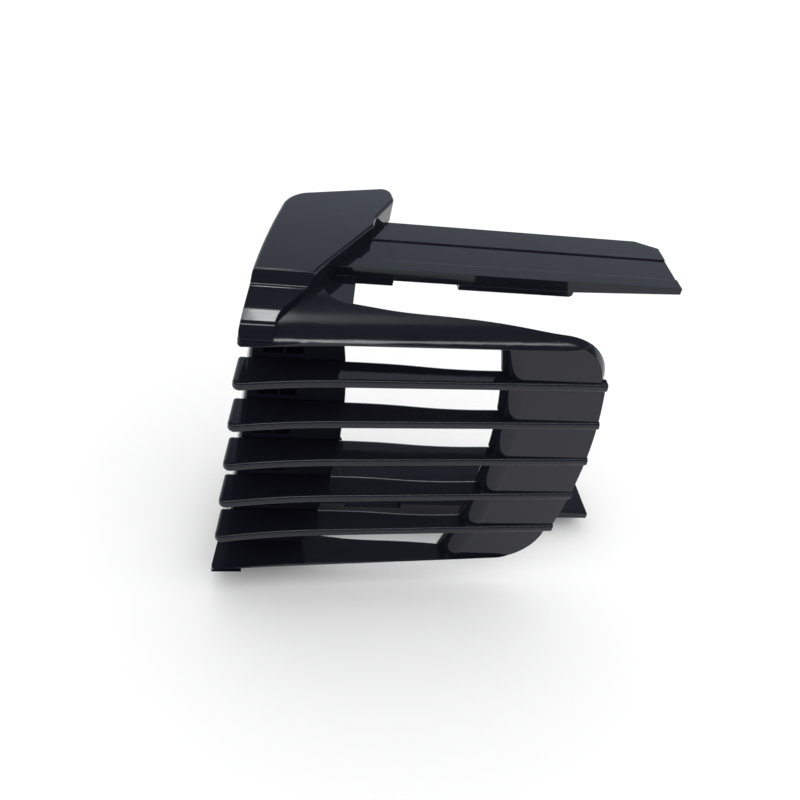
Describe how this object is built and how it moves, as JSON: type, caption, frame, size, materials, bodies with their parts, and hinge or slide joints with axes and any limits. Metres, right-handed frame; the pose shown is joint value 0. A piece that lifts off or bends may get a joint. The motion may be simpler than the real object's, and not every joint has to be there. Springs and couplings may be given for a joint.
{
  "type": "clipper guard comb",
  "caption": "Wide-tooth guard comb with a crowned heel plate, slanted side covers with thumb tabs and two sprung arms that slide on a hair clipper.",
  "frame": {"origin": "under the middle of the box, at the height of the lower side cover's outer face, on which the comb lies", "axes": "+X along the teeth from their tips to the heel and on to the arm tips, +Y from the hair side to the clipper side, +Z across the comb's width, which is upright when the comb lies on its side"},
  "size_m": [0.062, 0.0312, 0.0509],
  "materials": {
    "black_plastic": "glossy moulded, slight flow marks and fine scratches"
  },
  "bodies": {
    "comb": {"front_bridge": "black_plastic", "tooth_1": "black_plastic", "tooth_2": "black_plastic", "tooth_3": "black_plastic", "tooth_4": "black_plastic", "tooth_5": "black_plastic", "heel_panel_1": "black_plastic", "heel_panel_2": "black_plastic", "heel_panel_3": "black_plastic", "heel_panel_4": "black_plastic", "heel_panel_5": "black_plastic", "heel_panel_6": "black_plastic", "upper_side_tooth": "black_plastic", "upper_side_plate": "black_plastic", "upper_side_cover": "black_plastic", "lower_side_tooth": "black_plastic", "lower_side_plate": "black_plastic", "lower_side_cover": "black_plastic"},
    "upper_arm": {"upper_slide_arm": "black_plastic", "upper_guide_rail": "black_plastic", "upper_length_rack": "black_plastic"},
    "lower_arm": {"lower_slide_arm": "black_plastic", "lower_guide_rail": "black_plastic", "lower_length_rack": "black_plastic"}
  },
  "joints": [
    {"name": "upper_arm_flex", "type": "hinge", "parent": "comb", "child": "upper_arm", "pos_m": [-0.01, 0.00413, 0.04887], "axis": [0, -1, 0], "range_deg": [0, 2.5], "stiffness_Nm_per_rad": 0.8},
    {"name": "lower_arm_flex", "type": "hinge", "parent": "comb", "child": "lower_arm", "pos_m": [-0.01, 0.00413, 0.00203], "axis": [0, 1, 0], "range_deg": [0, 2.5], "stiffness_Nm_per_rad": 0.8}
  ]
}
